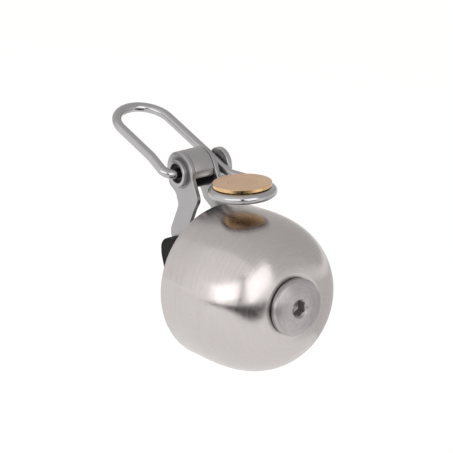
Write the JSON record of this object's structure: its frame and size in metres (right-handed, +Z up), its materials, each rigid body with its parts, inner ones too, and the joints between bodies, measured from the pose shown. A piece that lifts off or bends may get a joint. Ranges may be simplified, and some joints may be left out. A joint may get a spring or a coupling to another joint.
{
  "type": "bicycle bell",
  "caption": "Small handlebar bell: steel dome on a centre post, wire lever and ring carrying a brass hammer on a sprung pivot, rubber saddle for the bar.",
  "frame": {"origin": "on the handlebar's axis, in the upright plane of the dome's axis", "axes": "+X along the handlebar, -Y the way the dome points, +Z up to the hammer's side"},
  "size_m": [0.034, 0.0575, 0.0502],
  "materials": {
    "saddle": "moulded matte rubber",
    "bracket": "bead-blasted satin stainless sheet",
    "centre_post": "turned hexagonal bar",
    "post_lock_washer": "toothed spring steel",
    "post_nut": "plain steel",
    "dome_seat": "soft black rubber",
    "dome_bush": "black nylon",
    "dome": "satin, finely brushed round its axis",
    "head_washer": "black rubber",
    "dome_screw": "faced satin steel",
    "spring_housing": "black nylon",
    "barrel_liner": "rolled satin sheet",
    "barrel_cover": "bead-blasted satin stainless sheet",
    "left_ear_bush": "plain turned steel",
    "right_ear_bush": "plain turned steel",
    "torsion_spring": "drawn spring wire",
    "spindle": "turned satin steel",
    "spindle_cap": "turned satin steel",
    "striker_wire": "polished drawn stainless wire",
    "hammer_core": "turned brass",
    "hammer_cap": "satin top face, polished edge"
  },
  "bodies": {
    "base": {"saddle": "saddle", "bracket": "bracket", "centre_post": "centre_post", "post_lock_washer": "post_lock_washer", "post_nut": "post_nut", "dome_seat": "dome_seat", "dome_bush": "dome_bush", "dome": "dome", "head_washer": "head_washer", "dome_screw": "dome_screw", "spring_housing": "spring_housing", "barrel_liner": "barrel_liner", "barrel_cover": "barrel_cover", "left_ear_bush": "left_ear_bush", "right_ear_bush": "right_ear_bush", "torsion_spring": "torsion_spring"},
    "striker": {"spindle": "spindle", "spindle_cap": "spindle_cap", "striker_wire": "striker_wire", "hammer_core": "hammer_core", "hammer_cap": "hammer_cap"}
  },
  "joints": [
    {"name": "striker_pivot", "type": "hinge", "parent": "base", "child": "striker", "pos_m": [0, -0.01865, 0.024], "axis": [1, 0, 0], "range_deg": [-30, 7.2], "stiffness_Nm_per_rad": 0.08}
  ]
}
